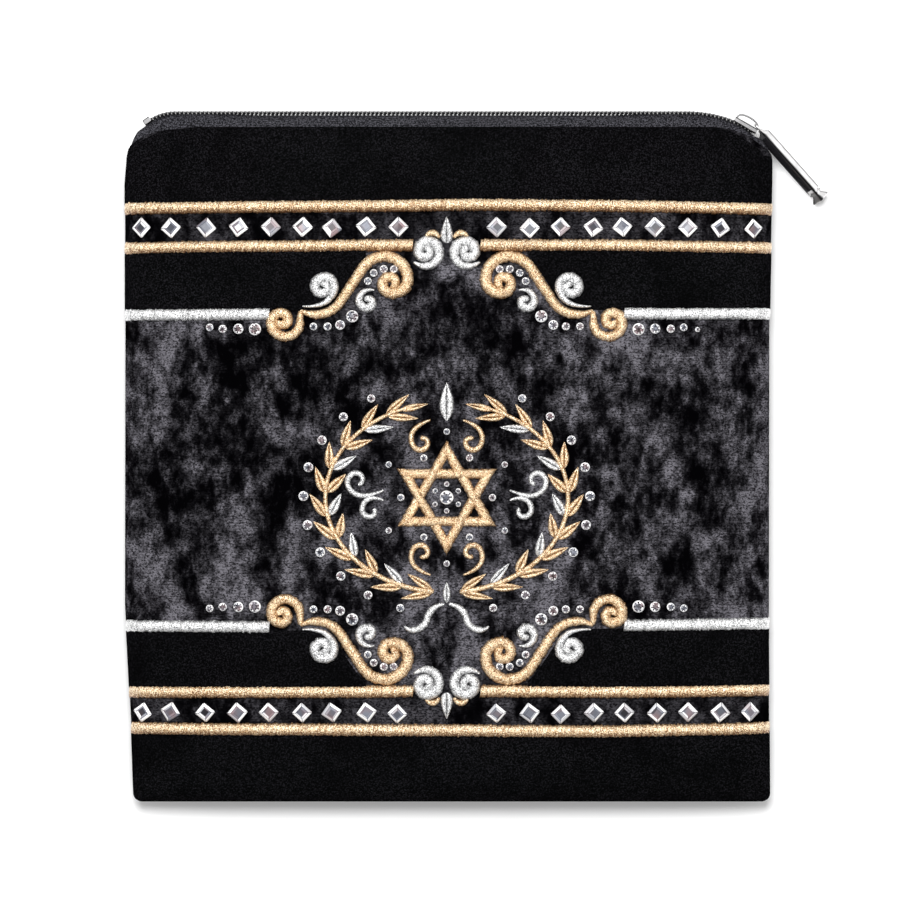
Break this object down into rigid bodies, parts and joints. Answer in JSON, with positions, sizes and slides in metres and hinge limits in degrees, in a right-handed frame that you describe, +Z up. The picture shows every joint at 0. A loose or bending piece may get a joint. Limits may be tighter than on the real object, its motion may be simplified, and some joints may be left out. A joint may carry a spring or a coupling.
{
  "type": "tallit bag",
  "caption": "Flat velvet bag with a zip along its top, embroidered face with raised borders, scrolls, a star in a wreath and crystal rows.",
  "frame": {"origin": "centre of the flat patch on which the back rests", "axes": "+Z up out of the embroidered face, +Y up the face towards the zip, +X to the right across the face"},
  "size_m": [0.3332, 0.326, 0.0394],
  "materials": {
    "crushed_velvet": "crushed velvet, charcoal with grey sheen",
    "black_velvet": "smooth black velvet",
    "gold_thread": "gold satin stitch",
    "silver_thread": "silver-white satin stitch",
    "zip_tape": "woven polyester tape, dark grey",
    "zip_coil": "black nylon coil",
    "nickel": "polished nickel"
  },
  "bodies": {
    "root": {"back_panel": "black_velvet", "curl_lower_left": "silver_thread", "curl_lower_right": "silver_thread", "curl_upper_left": "silver_thread", "curl_upper_right": "silver_thread", "finial_lower": "silver_thread", "finial_upper": "silver_thread", "front_panel": "crushed_velvet", "hook_lower_left": "gold_thread", "hook_lower_right": "gold_thread", "hook_upper_left": "gold_thread", "hook_upper_right": "gold_thread", "inner_bar_lower_left": "gold_thread", "inner_bar_lower_right": "gold_thread", "inner_bar_upper_left": "gold_thread", "inner_bar_upper_right": "gold_thread", "leaf_lower_left": "gold_thread", "leaf_lower_right": "gold_thread", "leaf_upper_left": "gold_thread", "leaf_upper_right": "gold_thread", "outer_bar_lower": "gold_thread", "outer_bar_upper": "gold_thread", "ribbon_left": "silver_thread", "ribbon_right": "silver_thread", "scroll_lower_left": "gold_thread", "scroll_lower_right": "gold_thread", "scroll_upper_left": "gold_thread", "scroll_upper_right": "gold_thread", "silver_bar_lower_left": "silver_thread", "silver_bar_lower_right": "silver_thread", "silver_bar_upper_left": "silver_thread", "silver_bar_upper_right": "silver_thread", "spray_left": "gold_thread", "spray_right": "gold_thread", "star": "gold_thread", "tail_lower_left": "silver_thread", "tail_lower_right": "silver_thread", "tail_upper_left": "silver_thread", "tail_upper_right": "silver_thread", "velvet_bottom": "black_velvet", "velvet_lower_left": "black_velvet", "velvet_lower_right": "black_velvet", "velvet_top": "black_velvet", "velvet_upper_left": "black_velvet", "velvet_upper_right": "black_velvet", "volute_lower_left": "silver_thread", "volute_lower_right": "silver_thread", "volute_upper_left": "silver_thread", "volute_upper_right": "silver_thread", "wreath_knot": "silver_thread", "wreath_lozenge": "silver_thread", "zip_coil": "zip_coil", "zip_end_stop": "nickel", "zip_puller": "nickel", "zip_slider": "nickel", "zip_tape_back": "zip_tape", "zip_tape_front": "zip_tape"}
  },
  "joints": []
}
